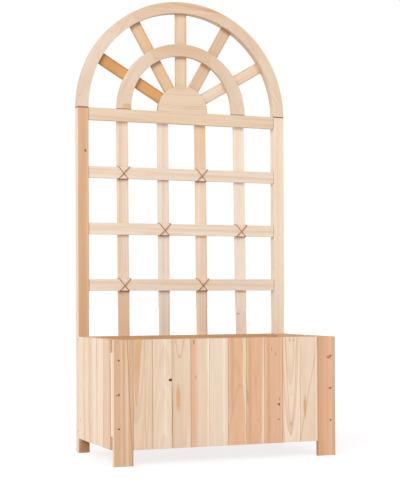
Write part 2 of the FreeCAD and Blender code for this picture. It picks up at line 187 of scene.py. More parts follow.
def blend(tree, share, first, second, mode="MIX"):
    """The first colour, with a share of the second in it."""
    node = place_node(tree, "ShaderNodeMix", {"Factor": share}, data_type="RGBA", blend_type=mode)
    feed(tree, node.inputs[6], first)
    feed(tree, node.inputs[7], second)
    return node.outputs[2]


def noise(tree, place, detail=2.0, roughness=0.5):
    """Soft noise from 0 to 1, one cycle in each unit of place."""
    node = place_node(
        tree, "ShaderNodeTexNoise",
        {"Vector": place, "Scale": 1.0, "Detail": detail, "Roughness": roughness},
    )
    return node.outputs["Fac"]


def new_group(name, inputs, outputs):
    """A shader group with its named sockets: each is (name, kind, default)."""
    tree = bpy.data.node_groups.new(name, "ShaderNodeTree")
    for socket_name, kind, default in inputs:
        socket = tree.interface.new_socket(socket_name, in_out="INPUT", socket_type=kind)
        socket.default_value = default
    for socket_name, kind in outputs:
        tree.interface.new_socket(socket_name, in_out="OUTPUT", socket_type=kind)
    return tree, tree.nodes.new("NodeGroupInput").outputs, tree.nodes.new("NodeGroupOutput").inputs


FLOAT = "NodeSocketFloat"
VECTOR = "NodeSocketVector"
COLOUR = "NodeSocketColor"


# ---- Effects that the wood materials share ----------------------------------------------------
def build_growth_rings():
    """The rings of the log a board was sawn from: Z runs along the log and Y into the board."""
    tree, given, result = new_group(
        "growth_rings",
        [("Place", VECTOR, (0, 0, 0)), ("Pith Across", FLOAT, 0.0), ("Pith Depth", FLOAT, 0.03),
         ("Slope", FLOAT, 0.0), ("Bow", FLOAT, 0.0), ("Ring Width", FLOAT, 0.004),
         ("Wander", FLOAT, 0.002), ("Push", FLOAT, 0.0), ("Seed", FLOAT, 0.0)],
        [("Late", FLOAT), ("Radius", FLOAT), ("Fibre", FLOAT), ("Cloud", FLOAT)],
    )
    axes = place_node(tree, "ShaderNodeSeparateXYZ", {"Vector": given["Place"]}).outputs
    across = calc(tree, "SUBTRACT", axes["X"], given["Pith Across"])
    lean = calc(tree, "MULTIPLY", axes["Z"], given["Slope"])
    bow = calc(tree, "MULTIPLY", calc(tree, "MULTIPLY", axes["Z"], axes["Z"]), given["Bow"])
    depth = calc(tree, "SUBTRACT", given["Pith Depth"], axes["Y"])
    depth = calc(tree, "ADD", calc(tree, "ADD", depth, lean), bow)
    squares = calc(tree, "ADD", calc(tree, "MULTIPLY", across, across),
                   calc(tree, "MULTIPLY", depth, depth))
    seed_shift = vector_calc(tree, "MULTIPLY", (17.3, 9.1, 5.7), given["Seed"])

    slow = vector_calc(tree, "MULTIPLY_ADD", given["Place"], ring_drift_scale, seed_shift)
    drift = calc(tree, "SUBTRACT", noise(tree, slow, 3.0, 0.55), 0.5)
    drift = calc(tree, "MULTIPLY", calc(tree, "MULTIPLY", drift, 2.0), given["Wander"])
    radius = calc(tree, "ADD", calc(tree, "SQRT", squares), drift)
    radius = calc(tree, "ADD", radius, given["Push"])

    count = calc(tree, "ADD", calc(tree, "DIVIDE", radius, given["Ring Width"]), given["Seed"])
    year = place_node(
        tree, "ShaderNodeTexWhiteNoise", {"W": calc(tree, "FLOOR", count)}, noise_dimensions="1D"
    ).outputs["Value"]
    season = calc(tree, "FRACT", count)
    late = calc(tree, "MULTIPLY", fade(tree, season, 0.30, 0.90), fade(tree, season, 1.0, 0.92))
    strength = fade(tree, year, 0.0, 1.0, 0.25, 1.0)

    streaks = vector_calc(tree, "MULTIPLY_ADD", given["Place"], streak_scale, seed_shift)
    clouds = vector_calc(tree, "MULTIPLY_ADD", given["Place"], cloud_scale, seed_shift)
    feed(tree, result["Late"], calc(tree, "MULTIPLY", late, strength))
    feed(tree, result["Radius"], radius)
    feed(tree, result["Fibre"], noise(tree, streaks, 3.0, 0.6))
    feed(tree, result["Cloud"], noise(tree, clouds, 3.0, 0.6))
    return tree


def build_sawn_wood():
    """Sapwood, heartwood, dark ring lines, streaks and darker end grain, as one colour."""
    tree, given, result = new_group(
        "sawn_wood",
        [("Sapwood", COLOUR, (1, 1, 1, 1)), ("Heartwood", COLOUR, (1, 1, 1, 1)),
         ("Line", COLOUR, (1, 1, 1, 1)), ("Heart Radius", FLOAT, 0.02),
         ("Heart Edge", FLOAT, 0.003), ("Line Strength", FLOAT, 0.4),
         ("Late", FLOAT, 0.0), ("Radius", FLOAT, 0.0), ("Fibre", FLOAT, 0.5),
         ("Cloud", FLOAT, 0.5), ("Sawn End", FLOAT, 0.0)],
        [("Color", COLOUR), ("Roughness", FLOAT), ("Height", FLOAT)],
    )
    inner = calc(tree, "SUBTRACT", given["Heart Radius"], given["Heart Edge"])
    outer = calc(tree, "ADD", given["Heart Radius"], given["Heart Edge"])
    heart = fade(tree, given["Radius"], inner, outer, 1.0, 0.0)
    wood = blend(tree, heart, given["Sapwood"], given["Heartwood"])
    lines = calc(tree, "MULTIPLY", given["Late"], given["Line Strength"])
    wood = blend(tree, lines, wood, given["Line"])
    tone = fade(tree, given["Cloud"], 0.25, 0.75, 0.0, 1.0)
    wood = blend(tree, tone, wood, blend(tree, 1.0, wood, cloud_tint, "MULTIPLY"))
    streak = fade(tree, given["Fibre"], 0.45, 0.80, 0.0, 0.6)
    wood = blend(tree, streak, wood, blend(tree, 1.0, wood, streak_tint, "MULTIPLY"))
    cut = blend(tree, 1.0, wood, sawn_end_tint, "MULTIPLY")
    wood = blend(tree, given["Sawn End"], wood, cut)
    feed(tree, result["Color"], wood)
    feed(tree, result["Roughness"], fade(tree, given["Fibre"], 0.2, 0.8, 0.56, 0.74))
    height = calc(tree, "ADD", calc(tree, "MULTIPLY", given["Late"], 0.5), given["Fibre"])
    feed(tree, result["Height"], height)
    return tree


def build_sawn_end():
    """A mask of the faces that were sawn across the grain."""
    tree, given, result = new_group(
        "sawn_end",
        [("Normal", VECTOR, (0, 0, 1)), ("Grain", VECTOR, (0, 0, 1))],
        [("Mask", FLOAT)],
    )
    along_grain = vector_calc(tree, "DOT_PRODUCT", given["Normal"], given["Grain"])
    facing = calc(tree, "ABSOLUTE", along_grain)
    feed(tree, result["Mask"], fade(tree, facing, 0.80, 0.95))
    return tree


def build_knot():
    """A knot, or a stain: its mask, and how far it pushes the rings aside."""
    tree, given, result = new_group(
        "knot",
        [("Place", VECTOR, (0, 0, 0)), ("Centre", VECTOR, (0, 0, 0)), ("Spread", VECTOR, (1, 1, 1)),
         ("Size", FLOAT, 0.003)],
        [("Core", FLOAT), ("Push", FLOAT)],
    )
    away = vector_calc(tree, "SUBTRACT", given["Place"], given["Centre"])
    ragged = noise(tree, vector_calc(tree, "MULTIPLY", given["Place"], knot_edge_scale), 2.0)
    distance = vector_calc(tree, "LENGTH", vector_calc(tree, "MULTIPLY", away, given["Spread"]))
    ragged_size = calc(tree, "MULTIPLY", given["Size"], fade(tree, ragged, 0.2, 0.8, 0.75, 1.2))
    share = calc(tree, "DIVIDE", distance, ragged_size)
    swirl = calc(tree, "DIVIDE", distance, calc(tree, "MULTIPLY", given["Size"], 3.0))
    falloff = calc(tree, "MULTIPLY", calc(tree, "MULTIPLY", swirl, swirl), -1.0)
    bulge = calc(tree, "EXPONENT", falloff)
    farthest = calc(tree, "MULTIPLY", given["Size"], 1.3)
    feed(tree, result["Core"], fade(tree, share, 1.05, 0.65))
    feed(tree, result["Push"], calc(tree, "MULTIPLY", bulge, farthest))
    return tree


def build_stripe():
    """A band along the grain, with soft edges and a slight wander."""
    tree, given, result = new_group(
        "stripe",
        [("Place", VECTOR, (0, 0, 0)), ("Across", FLOAT, 0.0), ("Half Width", FLOAT, 0.003),
         ("Soft", FLOAT, 0.001), ("Lean", FLOAT, 0.0), ("Wander", FLOAT, stripe_drift),
         ("Seed", FLOAT, 0.0)],
        [("Mask", FLOAT)],
    )
    axes = place_node(tree, "ShaderNodeSeparateXYZ", {"Vector": given["Place"]}).outputs
    seed_shift = vector_calc(tree, "MULTIPLY", (3.1, 7.7, 1.3), given["Seed"])
    slow = vector_calc(tree, "MULTIPLY_ADD", given["Place"], stripe_drift_scale, seed_shift)
    drift = calc(tree, "SUBTRACT", noise(tree, slow), 0.5)
    drift = calc(tree, "MULTIPLY", drift, given["Wander"])
    middle = calc(tree, "MULTIPLY_ADD", axes["Z"], given["Lean"], given["Across"])
    middle = calc(tree, "ADD", middle, drift)
    away = calc(tree, "ABSOLUTE", calc(tree, "SUBTRACT", axes["X"], middle))
    outer = calc(tree, "ADD", given["Half Width"], given["Soft"])
    inner = calc(tree, "SUBTRACT", given["Half Width"], given["Soft"])
    feed(tree, result["Mask"], fade(tree, away, inner, outer, 1.0, 0.0))
    return tree


def build_joint():
    """A dark line beside a joint, or a broad change of tone: a band across one direction."""
    tree, given, result = new_group(
        "joint",
        [("Place", VECTOR, (0, 0, 0)), ("Centre", VECTOR, (0, 0, 0)), ("Across", VECTOR, (0, 0, 1)),
         ("Half Width", FLOAT, 0.001), ("Soft", FLOAT, 0.001)],
        [("Mask", FLOAT)],
    )
    away = vector_calc(tree, "SUBTRACT", given["Place"], given["Centre"])
    distance = calc(tree, "ABSOLUTE", vector_calc(tree, "DOT_PRODUCT", away, given["Across"]))
    outer = calc(tree, "ADD", given["Half Width"], given["Soft"])
    feed(tree, result["Mask"], fade(tree, distance, given["Half Width"], outer, 1.0, 0.0))
    return tree


def build_tongue():
    """A pointed flame of the figure: it opens upwards (Up 1) or downwards (Up -1) from its tip."""
    tree, given, result = new_group(
        "tongue",
        [("Place", VECTOR, (0, 0, 0)), ("Across", FLOAT, 0.0), ("Tip", FLOAT, 0.0),
         ("Spread", FLOAT, 0.008), ("Up", FLOAT, 1.0), ("Lean", FLOAT, 0.0)],
        [("Mask", FLOAT)],
    )
    axes = place_node(tree, "ShaderNodeSeparateXYZ", {"Vector": given["Place"]}).outputs
    slow = vector_calc(tree, "MULTIPLY", given["Place"], tongue_drift_scale)
    drift = calc(tree, "SUBTRACT", noise(tree, slow), 0.5)
    drift = calc(tree, "MULTIPLY", drift, tongue_drift)
    rise = calc(tree, "MULTIPLY", calc(tree, "SUBTRACT", axes["Z"], given["Tip"]), given["Up"])
    share = calc(tree, "MAXIMUM", calc(tree, "DIVIDE", rise, 0.1), 0.0)
    half = calc(tree, "MULTIPLY", calc(tree, "SQRT", share), given["Spread"])
    middle = calc(tree, "MULTIPLY_ADD", rise, given["Lean"], given["Across"])
    middle = calc(tree, "ADD", middle, drift)
    away = calc(tree, "ABSOLUTE", calc(tree, "SUBTRACT", axes["X"], middle))
    past_edge = calc(tree, "SUBTRACT", away, half)
    body = fade(tree, past_edge, 0.0008, -0.0012)
    feed(tree, result["Mask"], calc(tree, "MULTIPLY", body, fade(tree, rise, 0.0, 0.004)))
    return tree


growth_rings = build_growth_rings()
sawn_wood = build_sawn_wood()
sawn_end = build_sawn_end()
knot_effect = build_knot()
stripe_effect = build_stripe()
joint_effect = build_joint()
tongue_effect = build_tongue()


def use_group(tree, group, inputs):
    """Places one of the shared effects in a material, with this material's own values."""
    node = tree.nodes.new("ShaderNodeGroup")
    node.node_tree = group
    for name, value in inputs.items():
        feed(tree, node.inputs[name], value)
    return node.outputs


# ---- Wood -------------------------------------------------------------------------------------
STANDING = (0.0, 0.0, 0.0)                       # grain upright, face to the front
SIDE_STANDING = (0.0, 0.0, math.radians(90))     # grain upright, face to the side
FRONT_TO_BACK = (math.radians(-90), 0.0, 0.0)    # grain from front to back, face upwards


def lying(angle):
    """Grain in the plane of the trellis, at an angle in degrees above level."""
    return (0.0, math.radians(90 - angle), 0.0)


def grain_direction(turn):
    """Which way the grain runs in a piece that is turned so."""
    about_x = Matrix.Rotation(turn[0], 3, "X")
    about_y = Matrix.Rotation(turn[1], 3, "Y")
    about_z = Matrix.Rotation(turn[2], 3, "Z")
    return about_z @ about_y @ about_x @ Vector((0, 0, 1))


def new_material(name):
    """A material, its tree and its Principled BSDF."""
    material = bpy.data.materials.new(name)
    material.use_nodes = True
    return material, material.node_tree, material.node_tree.nodes["Principled BSDF"]


def dress(node_name, material):
    """Gives a CAD node one material."""
    piece = frame["nodes"][node_name]
    piece.data.materials.clear()
    piece.data.materials.append(material)


def wood(node_name, turn=STANDING, sap=cream, heart=tan, line=ring_brown, pith=(0.0, 0.05),
         slope=0.0, bow=0.0, heart_radius=0.0, heart_edge=0.003, ring=0.004, lines=0.3,
         wander=0.0025, seed=0.0, stripes=(), tongues=(), knots=(), joints=(), per_piece=0.0):
    """Sawn softwood for one node. pith is how far the log's middle lies across and behind it.

    stripes: (mm across from the middle, width, colour, strength, edge softness, lean)
    tongues: (mm across, tip's height from the middle, half width 100 mm on, colour, strength, up,
    lean)
    knots: (centre, half width in metres, colour, strength, how much longer than wide)
    joints: a line or a broad change of tone (a place in it, direction across it, width, edge
    softness, colour, strength)
    """
    material, tree, surface = new_material(node_name)
    low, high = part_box(node_name)
    coordinates = tree.nodes.new("ShaderNodeTexCoord").outputs
    place = place_node(
        tree, "ShaderNodeMapping",
        {"Vector": coordinates["Object"], "Location": (low + high) / 2, "Rotation": turn},
        vector_type="TEXTURE",
    ).outputs["Vector"]
    seed_value = seed
    if per_piece:
        chance = tree.nodes.new("ShaderNodeNewGeometry").outputs["Random Per Island"]
        seed_value = calc(tree, "MULTIPLY_ADD", chance, 60.0, seed)
        aside = vector_calc(tree, "MULTIPLY", (per_piece, per_piece / 3, 1.0), seed_value)
        place = vector_calc(tree, "ADD", place, vector_calc(tree, "FRACTION", aside))

    push = 0.0
    marks = []
    for across, width, hue, strength, soft, lean in stripes:
        mask = use_group(tree, stripe_effect, {
            "Place": place, "Across": across / 1000, "Half Width": width / 2000,
            "Soft": soft / 1000, "Lean": lean, "Seed": seed + across,
            "Wander": stripe_drift if soft > hard_edge else 0.0,
        })["Mask"]
        marks.append((calc(tree, "MULTIPLY", mask, strength), hue))
    for across, tip, spread, hue, strength, up, lean in tongues:
        mask = use_group(tree, tongue_effect, {
            "Place": place, "Across": across / 1000, "Tip": tip / 1000,
            "Spread": spread / 1000, "Up": up, "Lean": lean,
        })["Mask"]
        marks.append((calc(tree, "MULTIPLY", mask, strength), hue))
    cores = []
    for centre, size, hue, strength, length in knots:
        knot = use_group(tree, knot_effect, {
            "Place": coordinates["Object"], "Centre": centre, "Size": size,
            "Spread": (1.0, 1.0, 1.0 / length),
        })
        push = calc(tree, "ADD", push, knot["Push"])
        cores.append((calc(tree, "MULTIPLY", knot["Core"], strength), hue))

    rings = use_group(tree, growth_rings, {
        "Place": place, "Pith Across": pith[0], "Pith Depth": pith[1], "Slope": slope, "Bow": bow,
        "Ring Width": ring, "Wander": wander, "Push": push, "Seed": seed_value,
    })
    end = use_group(tree, sawn_end, {
        "Normal": coordinates["Normal"], "Grain": grain_direction(turn),
    })
    base = colour(sap)
    for mark, hue in marks:
        base = blend(tree, mark, base, colour(hue))
    board = use_group(tree, sawn_wood, {
        "Sapwood": base, "Heartwood": colour(heart), "Line": colour(line),
        "Heart Radius": heart_radius, "Heart Edge": heart_edge, "Line Strength": lines,
        "Late": rings["Late"], "Radius": rings["Radius"], "Fibre": rings["Fibre"],
        "Cloud": rings["Cloud"], "Sawn End": end["Mask"],
    })
    finish = board["Color"]
    for core, hue in cores:
        finish = blend(tree, core, finish, colour(hue))
    for centre, across, width, soft, hue, strength in joints:
        mask = use_group(tree, joint_effect, {
            "Place": coordinates["Object"], "Centre": centre, "Across": across,
            "Half Width": width / 2000, "Soft": soft / 1000,
        })["Mask"]
        finish = blend(tree, calc(tree, "MULTIPLY", mask, strength), finish, colour(hue))
    bump = place_node(
        tree, "ShaderNodeBump",
        {"Strength": 0.35, "Distance": 0.0003, "Height": board["Height"]},
    )
    feed(tree, surface.inputs["Base Color"], finish)
    feed(tree, surface.inputs["Roughness"], board["Roughness"])
    feed(tree, surface.inputs["Normal"], bump.outputs["Normal"])
    surface.inputs["Specular IOR Level"].default_value = 0.25
    dress(node_name, material)


def front_boards():
    """The boards of the front, left to right, each with the figure that its own log gave it."""
    def knot(x, z, size, hue=knot_brown, strength=1.0, length=1.0):
        return ((x, box_front, z), size, hue, strength, length)

    wood("front_leg_left", sap=cream, pith=(-0.10, 0.03), ring=0.0035, lines=0.35, seed=1.0,
         stripes=[(0, leg_front_width, (212, 177, 145), 1.0, 0.2, 0.0),
                  (-6, 5, sand, 0.9, 1.5, 0.0),
                  (1, 1.6, umber, 0.5, 0.6, 0.0),
                  (9, 9, sand, 0.95, 1.5, 0.0), (17, 3.2, umber, 0.9, 0.8, -0.042)],
         knots=[knot(-0.311, 0.184, 0.0045, stain_brown, 0.6, 0.6)])
    wood("front_board_01", sap=biscuit, pith=(-0.019, 0.025), slope=-0.05, ring=0.007,
         lines=0.25, seed=2.0,
         stripes=[(6, 1.5, umber, 0.6, 0.5, 0.0), (-1, 1.2, tan, 0.5, 0.5, 0.01),
                  (25, 3, tan, 0.4, 1.0, 0.0)],
         tongues=[(-19, -33, 8.5, tan, 0.95, 1.0, 0.031)])
    wood("front_board_02", sap=(230, 210, 188), pith=(0.004, 0.035), slope=0.05, ring=0.006,
         lines=0.18, seed=3.0,
         stripes=[(-20, 14, pale_rose, 0.9, 4.0, 0.0), (8, 5, shell, 0.8, 1.5, 0.0)],
         knots=[knot(-0.1645, 0.2205, 0.0056, (84, 46, 26), 1.0, 0.8)])
    wood("front_board_03", sap=(224, 200, 175), line=ring_rose, pith=(-0.010, 0.026), bow=0.5,
         ring=0.008, lines=0.2, seed=4.0,
         stripes=[(-24, 7, (218, 186, 156), 0.7, 2.0, 0.0), (18, 10, flax, 0.8, 3.0, 0.0),
                  (8, 6, flax, 0.5, 2.0, 0.01)],
         tongues=[(-5, 90, 19, (219, 172, 138), 0.8, 1.0, 0.0),
                  (-5, 98, 14.5, biscuit, 1.0, 1.0, 0.0)],
         knots=[knot(-0.1427, 0.174, 0.0068, (210, 164, 122), 0.9, 6.2),
                knot(-0.1600, 0.130, 0.0015, knot_brown, 0.8, 60.0)])
    wood("front_board_04", sap=(228, 206, 183), line=ring_rose, pith=(-0.060, 0.03), ring=0.005,
         lines=0.2, seed=5.0,
         stripes=[(-23, 24, salmon, 0.95, 8.0, 0.0), (23, 7, ivory, 0.9, 1.5, 0.0)],
         knots=[knot(-0.0938, 0.226, 0.0020, (176, 120, 86), 0.6, 3.0),
                knot(-0.0980, 0.318, 0.0022, (172, 112, 76), 0.8, 4.0)])
    wood("front_board_05", sap=(232, 214, 194), pith=(-0.09, 0.03), ring=0.006, lines=0.18,
         seed=6.0,
         stripes=[(14.5, 4, ivory, 0.9, 1.0, 0.0), (5, 1.2, sand, 0.6, 0.4, 0.0),
                  (-22, 1.5, sand, 0.6, 0.5, 0.0)])
    wood("front_board_06", sap=salmon, line=ring_rose, pith=(-0.004, 0.03), slope=0.06,
         ring=0.006, lines=0.22, seed=7.0,
         stripes=[(-23, 5, apricot, 0.8, 1.5, 0.0), (-14, 8, clay, 0.8, 2.5, 0.0),
                  (21.5, 11, straw, 1.0, 1.8, -0.01)],
         tongues=[(8, 22, 22, copper, 0.5, -1.0, -0.08),
                  (8, 14, 20, (227, 184, 150), 0.8, -1.0, -0.08)])
    wood("front_board_07", sap=salmon, line=ring_rose, pith=(0.0, 0.03), slope=-0.03,
         ring=0.006, lines=0.22, seed=8.0,
         stripes=[(-17, 8, clay, 0.8, 2.5, 0.0), (-25, 4, sand, 0.9, 1.0, 0.0),
                  (22, 9, cream, 0.9, 1.5, 0.0)],
         tongues=[(7, -6, 11, (208, 158, 122), 0.6, 1.0, 0.0),
                  (7, 3, 9, (227, 183, 149), 0.9, 1.0, 0.0),
                  (8, -88, 10, copper, 0.5, 1.0, 0.0),
                  (8, -80, 8.5, (226, 183, 150), 0.8, 1.0, 0.0)],
         knots=[knot(0.0565, 0.168, 0.0026, (188, 136, 102), 0.7, 9.0)])
    wood("front_board_08", sap=salmon, line=ring_rose, pith=(0.05, 0.03), ring=0.0045,
         lines=0.2, seed=9.0,
         stripes=[(-15, 7, clay, 0.8, 2.0, 0.0), (-25, 4, sand, 0.9, 1.0, 0.0),
                  (23, 5, sand, 0.8, 1.5, 0.0)],
         knots=[knot(0.149, 0.146, 0.0030, length=1.6),
                knot(0.148, 0.105, 0.0030, stain_brown, 0.8),
                knot(0.1275, 0.295, 0.0018, fleck_brown, 0.6, 4.0),
                knot(0.1391, 0.281, 0.0018, fleck_brown, 0.7, 4.0),
                knot(0.150, 0.160, 0.0014, stain_brown, 0.8, 3.0),
                knot(0.142, 0.147, 0.0018, stain_brown, 0.7)])
    wood("front_board_09", sap=oat, pith=(-0.004, 0.024), slope=-0.045, ring=0.006,
         lines=0.35, wander=0.0015, seed=10.0,
         stripes=[(-25, 6, sand, 0.7, 1.5, 0.0), (23.5, 6, ivory, 0.9, 1.5, 0.0)],
         tongues=[(-8, 92, 10, apricot, 0.45, 1.0, 0.0),
                  (-1, -102, 12, (212, 168, 124), 0.75, 1.0, 0.0),
                  (-1, -92, 10.5, oat, 1.0, 1.0, 0.0),
                  (-1, -20, 8, (226, 192, 158), 0.6, 1.0, 0.0),
                  (-1, -12, 7, oat, 0.9, 1.0, 0.0)],
         knots=[knot(0.182, 0.320, 0.0022, fleck_rose, 0.7, 3.5),
                knot(0.1934, 0.319, 0.0022, fleck_rose, 0.7, 4.0)])
    wood("front_board_10", sap=(234, 211, 188), pith=(0.060, 0.024), ring=0.006, lines=0.15,
         seed=11.0,
         stripes=[(-0.2, 2.6, tan, 0.8, 1.0, 0.19), (20, 3, shell, 0.6, 1.0, 0.0)],
         knots=[knot(0.2273, 0.136, 0.0044, (206, 160, 112), 0.9, 8.0)])
    wood("front_leg_right", sap=(223, 176, 142), line=ring_rose, pith=(-0.05, 0.03), ring=0.006,
         lines=0.15, seed=12.0,
         stripes=[(-22, 24, clay, 0.85, 6.0, 0.0), (-26, 3, umber, 0.8, 1.0, 0.0),
                  (12, 10, (228, 188, 156), 0.7, 5.0, 0.0), (25.5, 3, umber, 0.6, 1.5, 0.0),
                  (2, 1.4, clay, 0.7, 0.5, 0.0), (18, 1.4, clay, 0.7, 0.5, 0.0)],
         knots=[knot(0.300, 0.270, 0.0066, stain_brown, 0.7, 0.8),
                knot(0.303, 0.184, 0.0055, (180, 128, 84), 0.7, 0.7)])


def side_boards():
    """The boards of the two sides, front to back, paler than the front."""
    colours = [(232, 204, 181), ivory, shell, (245, 222, 200), (243, 226, 206)]
    marks = [
        [(-18, 14, (232, 196, 168), 0.8, 4.0, 0.0), (20, 3, salmon, 0.5, 1.0, 0.0)],
        [(10, 4, pale_rose, 0.8, 1.5, 0.0), (-14, 3, blush, 0.7, 1.0, 0.0)],
        [(-6, 5, milk, 0.9, 2.0, 0.0), (16, 3, blush, 0.8, 1.0, 0.0)],
        [(-16, 16, (234, 199, 169), 0.8, 5.0, 0.0), (12, 8, shell, 0.8, 2.0, 0.0)],
        [(22, 10, milk, 0.8, 3.0, 0.0), (-20, 8, (236, 204, 176), 0.7, 3.0, 0.0)],
    ]
    seams = [(side_board_edge, 2.4, umber, 0.8, 0.4, 0.0),
             (-side_board_edge, 2.4, umber, 0.8, 0.4, 0.0)]
    for place, sign in (("left", -1), ("right", 1)):
        for n, sap in enumerate(colours):
            knots = []
            if place == "left" and n == 4:
                knots = [((-0.32, 0.133, 0.093), 0.0035, stain_brown, 0.6, 1.2)]
            wood(f"side_board_{place}_{n + 1}", SIDE_STANDING, sap=sap, line=ring_rose,
                 pith=(0.05 - 0.02 * n, 0.035 * sign), slope=0.03 - 0.02 * n, ring=0.006,
                 lines=0.2, seed=20.0 + 7 * n + sign, stripes=marks[n] + seams, knots=knots)


def box_inside():
    """Battens, cleats, back and floor, which are plainer sawn wood."""
    for n, name in enumerate(("front_batten_top", "front_batten_bottom",
                              "back_batten_top", "back_batten_bottom")):
        sap = (214, 172, 130) if name == "back_batten_top" else sand
        wood(name, lying(0), sap=sap, pith=(0.02, 0.05), seed=40.0 + n,
             stripes=[(4, 8, tan, 0.6, 3.0, 0.0)])
    for n, name in enumerate(("side_battens_top", "side_battens_bottom")):
        wood(name, FRONT_TO_BACK, sap=sand, pith=(0.04, 0.03), seed=50.0 + n, per_piece=0.013)
    wood("corner_cleats", sap=ivory, pith=(0.04, 0.04), seed=55.0, lines=0.2, per_piece=0.011)
    wood("back_boards", sap=cream, heart=salmon, line=ring_rose, pith=(0.0, 0.04),
         slope=0.04, heart_radius=0.05, heart_edge=0.01, seed=60.0, per_piece=0.017)
    wood("floor_boards", FRONT_TO_BACK, sap=straw, heart=tan, pith=(0.0, 0.04),
         slope=-0.03, heart_radius=0.05, heart_edge=0.01, seed=65.0, per_piece=0.015)


def arched_frame():
    """Posts, arches and hub. The left post's front is darker than its sides."""
    upwards = Vector((0, 0, 1))
    arch_joint = [((0, 0, arch_foot), upwards, arch_joint_width, arch_joint_softness,
                   joint_brown, 0.9)]
    # painted shade: the right post's front is darkened below the box's rim, where the box shades it
    painted_shade_below_rim = ((0, 0, 0.17), upwards, 300.0, 8.0, painted_box_shade, 0.85)

    def shade(angle, reach, hue, strength):
        """A broad change of tone round one place of an arch."""
        turn = math.radians(angle)
        along = Vector((-math.sin(turn), 0, math.cos(turn)))
        outwards = Vector((math.cos(turn), 0, math.sin(turn)))
        centre = Vector((0, 0, arch_foot)) + outwards * shade_radius
        return (centre, along, reach, shade_softness, hue, strength)

    def knot(x, z, size, hue=stain_brown, strength=0.6, length=1.0):
        return ((x, frame_front, z), size, hue, strength, length)

    wood("post_left", sap=shell, pith=(0.05, 0.03), ring=0.004, lines=0.25, seed=70.0,
         stripes=[(0, post_front_width, tan, 1.0, 0.2, 0.0), (-4, 9, clay, 0.5, 3.0, 0.0),
                  (11, 5, sand, 0.7, 2.0, 0.0)],
         knots=[knot(-0.298, 0.8515, 0.0035, knot_brown, 0.85, 1.5),
                # painted shade: this second mark darkens the post's foot, which the box shades
                knot(-0.302, 0.010, 0.0180, (172, 124, 84), 0.7, 2.2)], joints=arch_joint)
    wood("post_right", sap=(243, 223, 202), pith=(0.05, 0.03), ring=0.005, lines=0.2, seed=71.0,
         stripes=[(13, 5, shell, 0.8, 2.0, 0.0), (-3, 8, (238, 214, 188), 0.6, 3.0, 0.0)],
         joints=arch_joint + [painted_shade_below_rim])
    arch_colours = {
        "outer_arch_right": ((232, 211, 190), (226, 200, 176)),
        "outer_arch_top": ((224, 198, 173), (219, 190, 163)),
        "outer_arch_left": ((230, 212, 195), (226, 204, 184)),
        "inner_arch_right": ((226, 205, 184), (222, 198, 173)),
        "inner_arch_top": ((217, 188, 159), (219, 191, 163)),
        "inner_arch_left": ((225, 205, 184), (221, 198, 174)),
    }
    knots = {
        "outer_arch_left": [knot(-0.218, arch_foot + 0.218, 0.0025, strength=0.5),
                            knot(-0.314, arch_foot + 0.032, 0.0025, strength=0.6)],
        "outer_arch_right": [knot(0.300, arch_foot + 0.016, 0.0025, strength=0.4),
                             knot(0.307, arch_foot + 0.008, 0.0025, strength=0.4)],
        "inner_arch_left": [knot(-0.172, arch_foot + 0.009, 0.0190, (206, 162, 116), 0.75, 0.5)],
    }
    shades = {
        "outer_arch_right": [shade(60, 160, arch_shade, 0.45)],
        "outer_arch_top": [shade(120, 160, (210, 172, 138), 0.25)],
        "outer_arch_left": [shade(180, 120, (212, 184, 160), 0.4),
                            shade(120, 70, (212, 178, 144), 0.4)],
        "inner_arch_right": [shade(60, 80, arch_shade, 0.3)],
        "inner_arch_left": [shade(180, 60, (214, 180, 150), 0.3)],
    }
    places = {"right": 0, "top": 1, "left": 2}
    for n, (name, (sap, heart)) in enumerate(arch_colours.items()):
        middle = arch_step * (places[name.split("_")[2]] + 0.5)
        stripes = []
        if name == "outer_arch_top":
            stripes = [(27, 9, (196, 146, 100), 1.0, 3.0, 0.12)]
        joints = shades.get(name, []) + ([] if name.endswith("top") else arch_joint)
        pith = (0.03 if name.startswith("outer") else -0.03, 0.03)
        wood(name, lying(middle + 90), sap=sap, heart=heart, pith=pith,
             heart_radius=0.045, heart_edge=0.012, ring=0.005, lines=0.22, seed=75.0 + 3 * n,
             stripes=stripes, knots=knots.get(name, ()), joints=joints)
    wood("hub", lying(0), sap=(227, 204, 178), heart=cream, pith=(0.15, 0.05), bow=-1.5,
         ring=0.006, lines=0.35, seed=85.0)


